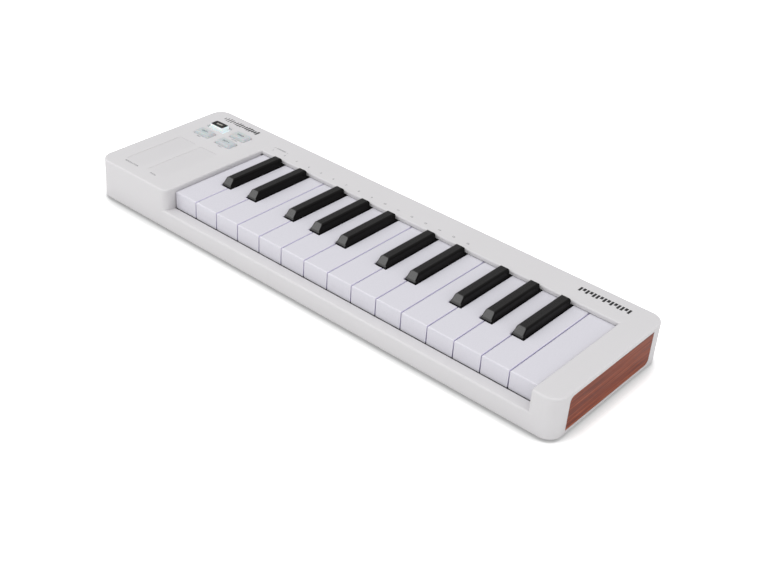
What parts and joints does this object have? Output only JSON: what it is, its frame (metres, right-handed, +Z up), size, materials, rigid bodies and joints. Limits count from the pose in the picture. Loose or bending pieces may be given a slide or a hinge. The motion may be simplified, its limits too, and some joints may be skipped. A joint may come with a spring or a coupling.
{
  "type": "midi keyboard",
  "caption": "Slim desktop keyboard controller with sprung hinged keys, push buttons and touch strips in a flat case with wood-look side panels.",
  "frame": {"origin": "on the desk, under the middle of the case", "axes": "+X to the player's right along the keys, +Y to the back, +Z up"},
  "size_m": [0.356, 0.1078, 0.0303],
  "materials": {
    "case_plastic": "fine satin moulded ABS, cool white",
    "white_key_plastic": "smooth satin-gloss ABS",
    "black_key_plastic": "satin black ABS",
    "button_plastic": "translucent pale grey cap",
    "shift_plastic": "black cap face over pale translucent sides",
    "strip_plastic": "satin touch surface",
    "wood": "reddish-brown veneer with fine grain, satin",
    "chassis_plastic": "moulded, dark grey",
    "steel": "plain bright steel",
    "screw_zinc": "zinc plated",
    "felt": "pressed felt",
    "silicone": "grey silicone",
    "rubber_grey": "soft moulded rubber",
    "circuit_board": "solder-masked glass laminate",
    "sensor_film": "polyimide film",
    "switch_black": "moulded, black",
    "led_white": "clear resin",
    "chip_black": "moulded epoxy",
    "ribbon_grey": "flat flexible cable"
  },
  "bodies": {
    "case": {"top_shell": "case_plastic", "bottom_cover": "case_plastic", "left_side_panel": "wood", "right_side_panel": "wood", "key_chassis": "chassis_plastic", "pivot_rod": "steel", "key_springs": "steel", "down_stop_felts": "felt", "up_stop_felt": "felt", "contact_strip_left": "silicone", "contact_strip_right": "silicone", "key_board": "circuit_board", "main_board": "circuit_board", "control_board": "circuit_board", "touch_sensor_film": "sensor_film", "button_switches": "switch_black", "button_leds": "led_white", "board_chips": "chip_black", "key_ribbon": "ribbon_grey", "control_ribbon": "ribbon_grey", "usb_c_socket": "steel", "pedal_jack": "switch_black", "rubber_feet": "rubber_grey", "case_screws": "screw_zinc", "chassis_screws": "screw_zinc", "board_screws": "screw_zinc", "modulation_touch_strip": "strip_plastic", "pitch_touch_strip": "strip_plastic"},
    "white_key_c1": {"white_key_c1": "white_key_plastic"},
    "white_key_d1": {"white_key_d1": "white_key_plastic"},
    "white_key_e1": {"white_key_e1": "white_key_plastic"},
    "white_key_f1": {"white_key_f1": "white_key_plastic"},
    "white_key_g1": {"white_key_g1": "white_key_plastic"},
    "white_key_a1": {"white_key_a1": "white_key_plastic"},
    "white_key_b1": {"white_key_b1": "white_key_plastic"},
    "white_key_c2": {"white_key_c2": "white_key_plastic"},
    "white_key_d2": {"white_key_d2": "white_key_plastic"},
    "white_key_e2": {"white_key_e2": "white_key_plastic"},
    "white_key_f2": {"white_key_f2": "white_key_plastic"},
    "white_key_g2": {"white_key_g2": "white_key_plastic"},
    "white_key_a2": {"white_key_a2": "white_key_plastic"},
    "white_key_b2": {"white_key_b2": "white_key_plastic"},
    "white_key_c3": {"white_key_c3": "white_key_plastic"},
    "black_key_c_sharp1": {"black_key_c_sharp1": "black_key_plastic"},
    "black_key_d_sharp1": {"black_key_d_sharp1": "black_key_plastic"},
    "black_key_f_sharp1": {"black_key_f_sharp1": "black_key_plastic"},
    "black_key_g_sharp1": {"black_key_g_sharp1": "black_key_plastic"},
    "black_key_a_sharp1": {"black_key_a_sharp1": "black_key_plastic"},
    "black_key_c_sharp2": {"black_key_c_sharp2": "black_key_plastic"},
    "black_key_d_sharp2": {"black_key_d_sharp2": "black_key_plastic"},
    "black_key_f_sharp2": {"black_key_f_sharp2": "black_key_plastic"},
    "black_key_g_sharp2": {"black_key_g_sharp2": "black_key_plastic"},
    "black_key_a_sharp2": {"black_key_a_sharp2": "black_key_plastic"},
    "shift_button": {"shift_button": "shift_plastic"},
    "hold_button": {"hold_button": "button_plastic"},
    "octave_down_button": {"octave_down_button": "button_plastic"},
    "octave_up_button": {"octave_up_button": "button_plastic"}
  },
  "joints": [
    {"name": "white_key_c1_hinge", "type": "hinge", "parent": "case", "child": "white_key_c1", "pos_m": [0, 0.042, 0.016], "axis": [1, 0, 0], "range_deg": [0, 4.2], "stiffness_Nm_per_rad": 0.4, "springref_deg": -6.88, "deforming": ["key_springs", "contact_strip_left", "contact_strip_right"]},
    {"name": "white_key_d1_hinge", "type": "hinge", "parent": "case", "child": "white_key_d1", "pos_m": [0, 0.042, 0.016], "axis": [1, 0, 0], "range_deg": [0, 4.2], "stiffness_Nm_per_rad": 0.4, "springref_deg": -6.88, "deforming": ["key_springs", "contact_strip_left", "contact_strip_right"]},
    {"name": "white_key_e1_hinge", "type": "hinge", "parent": "case", "child": "white_key_e1", "pos_m": [0, 0.042, 0.016], "axis": [1, 0, 0], "range_deg": [0, 4.2], "stiffness_Nm_per_rad": 0.4, "springref_deg": -6.88, "deforming": ["key_springs", "contact_strip_left", "contact_strip_right"]},
    {"name": "white_key_f1_hinge", "type": "hinge", "parent": "case", "child": "white_key_f1", "pos_m": [0, 0.042, 0.016], "axis": [1, 0, 0], "range_deg": [0, 4.2], "stiffness_Nm_per_rad": 0.4, "springref_deg": -6.88, "deforming": ["key_springs", "contact_strip_left", "contact_strip_right"]},
    {"name": "white_key_g1_hinge", "type": "hinge", "parent": "case", "child": "white_key_g1", "pos_m": [0, 0.042, 0.016], "axis": [1, 0, 0], "range_deg": [0, 4.2], "stiffness_Nm_per_rad": 0.4, "springref_deg": -6.88, "deforming": ["key_springs", "contact_strip_left", "contact_strip_right"]},
    {"name": "white_key_a1_hinge", "type": "hinge", "parent": "case", "child": "white_key_a1", "pos_m": [0, 0.042, 0.016], "axis": [1, 0, 0], "range_deg": [0, 4.2], "stiffness_Nm_per_rad": 0.4, "springref_deg": -6.88, "deforming": ["key_springs", "contact_strip_left", "contact_strip_right"]},
    {"name": "white_key_b1_hinge", "type": "hinge", "parent": "case", "child": "white_key_b1", "pos_m": [0, 0.042, 0.016], "axis": [1, 0, 0], "range_deg": [0, 4.2], "stiffness_Nm_per_rad": 0.4, "springref_deg": -6.88, "deforming": ["key_springs", "contact_strip_left", "contact_strip_right"]},
    {"name": "white_key_c2_hinge", "type": "hinge", "parent": "case", "child": "white_key_c2", "pos_m": [0, 0.042, 0.016], "axis": [1, 0, 0], "range_deg": [0, 4.2], "stiffness_Nm_per_rad": 0.4, "springref_deg": -6.88, "deforming": ["key_springs", "contact_strip_left", "contact_strip_right"]},
    {"name": "white_key_d2_hinge", "type": "hinge", "parent": "case", "child": "white_key_d2", "pos_m": [0, 0.042, 0.016], "axis": [1, 0, 0], "range_deg": [0, 4.2], "stiffness_Nm_per_rad": 0.4, "springref_deg": -6.88, "deforming": ["key_springs", "contact_strip_left", "contact_strip_right"]},
    {"name": "white_key_e2_hinge", "type": "hinge", "parent": "case", "child": "white_key_e2", "pos_m": [0, 0.042, 0.016], "axis": [1, 0, 0], "range_deg": [0, 4.2], "stiffness_Nm_per_rad": 0.4, "springref_deg": -6.88, "deforming": ["key_springs", "contact_strip_left", "contact_strip_right"]},
    {"name": "white_key_f2_hinge", "type": "hinge", "parent": "case", "child": "white_key_f2", "pos_m": [0, 0.042, 0.016], "axis": [1, 0, 0], "range_deg": [0, 4.2], "stiffness_Nm_per_rad": 0.4, "springref_deg": -6.88, "deforming": ["key_springs", "contact_strip_left", "contact_strip_right"]},
    {"name": "white_key_g2_hinge", "type": "hinge", "parent": "case", "child": "white_key_g2", "pos_m": [0, 0.042, 0.016], "axis": [1, 0, 0], "range_deg": [0, 4.2], "stiffness_Nm_per_rad": 0.4, "springref_deg": -6.88, "deforming": ["key_springs", "contact_strip_left", "contact_strip_right"]},
    {"name": "white_key_a2_hinge", "type": "hinge", "parent": "case", "child": "white_key_a2", "pos_m": [0, 0.042, 0.016], "axis": [1, 0, 0], "range_deg": [0, 4.2], "stiffness_Nm_per_rad": 0.4, "springref_deg": -6.88, "deforming": ["key_springs", "contact_strip_left", "contact_strip_right"]},
    {"name": "white_key_b2_hinge", "type": "hinge", "parent": "case", "child": "white_key_b2", "pos_m": [0, 0.042, 0.016], "axis": [1, 0, 0], "range_deg": [0, 4.2], "stiffness_Nm_per_rad": 0.4, "springref_deg": -6.88, "deforming": ["key_springs", "contact_strip_left", "contact_strip_right"]},
    {"name": "white_key_c3_hinge", "type": "hinge", "parent": "case", "child": "white_key_c3", "pos_m": [0, 0.042, 0.016], "axis": [1, 0, 0], "range_deg": [0, 4.2], "stiffness_Nm_per_rad": 0.4, "springref_deg": -6.88, "deforming": ["key_springs", "contact_strip_left", "contact_strip_right"]},
    {"name": "black_key_c_sharp1_hinge", "type": "hinge", "parent": "case", "child": "black_key_c_sharp1", "pos_m": [0, 0.042, 0.016], "axis": [1, 0, 0], "range_deg": [0, 4.2], "stiffness_Nm_per_rad": 0.4, "springref_deg": -6.88, "deforming": ["key_springs", "contact_strip_left", "contact_strip_right"]},
    {"name": "black_key_d_sharp1_hinge", "type": "hinge", "parent": "case", "child": "black_key_d_sharp1", "pos_m": [0, 0.042, 0.016], "axis": [1, 0, 0], "range_deg": [0, 4.2], "stiffness_Nm_per_rad": 0.4, "springref_deg": -6.88, "deforming": ["key_springs", "contact_strip_left", "contact_strip_right"]},
    {"name": "black_key_f_sharp1_hinge", "type": "hinge", "parent": "case", "child": "black_key_f_sharp1", "pos_m": [0, 0.042, 0.016], "axis": [1, 0, 0], "range_deg": [0, 4.2], "stiffness_Nm_per_rad": 0.4, "springref_deg": -6.88, "deforming": ["key_springs", "contact_strip_left", "contact_strip_right"]},
    {"name": "black_key_g_sharp1_hinge", "type": "hinge", "parent": "case", "child": "black_key_g_sharp1", "pos_m": [0, 0.042, 0.016], "axis": [1, 0, 0], "range_deg": [0, 4.2], "stiffness_Nm_per_rad": 0.4, "springref_deg": -6.88, "deforming": ["key_springs", "contact_strip_left", "contact_strip_right"]},
    {"name": "black_key_a_sharp1_hinge", "type": "hinge", "parent": "case", "child": "black_key_a_sharp1", "pos_m": [0, 0.042, 0.016], "axis": [1, 0, 0], "range_deg": [0, 4.2], "stiffness_Nm_per_rad": 0.4, "springref_deg": -6.88, "deforming": ["key_springs", "contact_strip_left", "contact_strip_right"]},
    {"name": "black_key_c_sharp2_hinge", "type": "hinge", "parent": "case", "child": "black_key_c_sharp2", "pos_m": [0, 0.042, 0.016], "axis": [1, 0, 0], "range_deg": [0, 4.2], "stiffness_Nm_per_rad": 0.4, "springref_deg": -6.88, "deforming": ["key_springs", "contact_strip_left", "contact_strip_right"]},
    {"name": "black_key_d_sharp2_hinge", "type": "hinge", "parent": "case", "child": "black_key_d_sharp2", "pos_m": [0, 0.042, 0.016], "axis": [1, 0, 0], "range_deg": [0, 4.2], "stiffness_Nm_per_rad": 0.4, "springref_deg": -6.88, "deforming": ["key_springs", "contact_strip_left", "contact_strip_right"]},
    {"name": "black_key_f_sharp2_hinge", "type": "hinge", "parent": "case", "child": "black_key_f_sharp2", "pos_m": [0, 0.042, 0.016], "axis": [1, 0, 0], "range_deg": [0, 4.2], "stiffness_Nm_per_rad": 0.4, "springref_deg": -6.88, "deforming": ["key_springs", "contact_strip_left", "contact_strip_right"]},
    {"name": "black_key_g_sharp2_hinge", "type": "hinge", "parent": "case", "child": "black_key_g_sharp2", "pos_m": [0, 0.042, 0.016], "axis": [1, 0, 0], "range_deg": [0, 4.2], "stiffness_Nm_per_rad": 0.4, "springref_deg": -6.88, "deforming": ["key_springs", "contact_strip_left", "contact_strip_right"]},
    {"name": "black_key_a_sharp2_hinge", "type": "hinge", "parent": "case", "child": "black_key_a_sharp2", "pos_m": [0, 0.042, 0.016], "axis": [1, 0, 0], "range_deg": [0, 4.2], "stiffness_Nm_per_rad": 0.4, "springref_deg": -6.88, "deforming": ["key_springs", "contact_strip_left", "contact_strip_right"]},
    {"name": "shift_button_press", "type": "slide", "parent": "case", "child": "shift_button", "axis": [0, 0, -1], "range_m": [0, 0.0008], "stiffness_N_per_m": 400, "springref_m": -0.002, "deforming": ["button_switches"]},
    {"name": "hold_button_press", "type": "slide", "parent": "case", "child": "hold_button", "axis": [0, 0, -1], "range_m": [0, 0.0008], "stiffness_N_per_m": 400, "springref_m": -0.002, "deforming": ["button_switches"]},
    {"name": "octave_down_button_press", "type": "slide", "parent": "case", "child": "octave_down_button", "axis": [0, 0, -1], "range_m": [0, 0.0008], "stiffness_N_per_m": 400, "springref_m": -0.002, "deforming": ["button_switches"]},
    {"name": "octave_up_button_press", "type": "slide", "parent": "case", "child": "octave_up_button", "axis": [0, 0, -1], "range_m": [0, 0.0008], "stiffness_N_per_m": 400, "springref_m": -0.002, "deforming": ["button_switches"]}
  ]
}
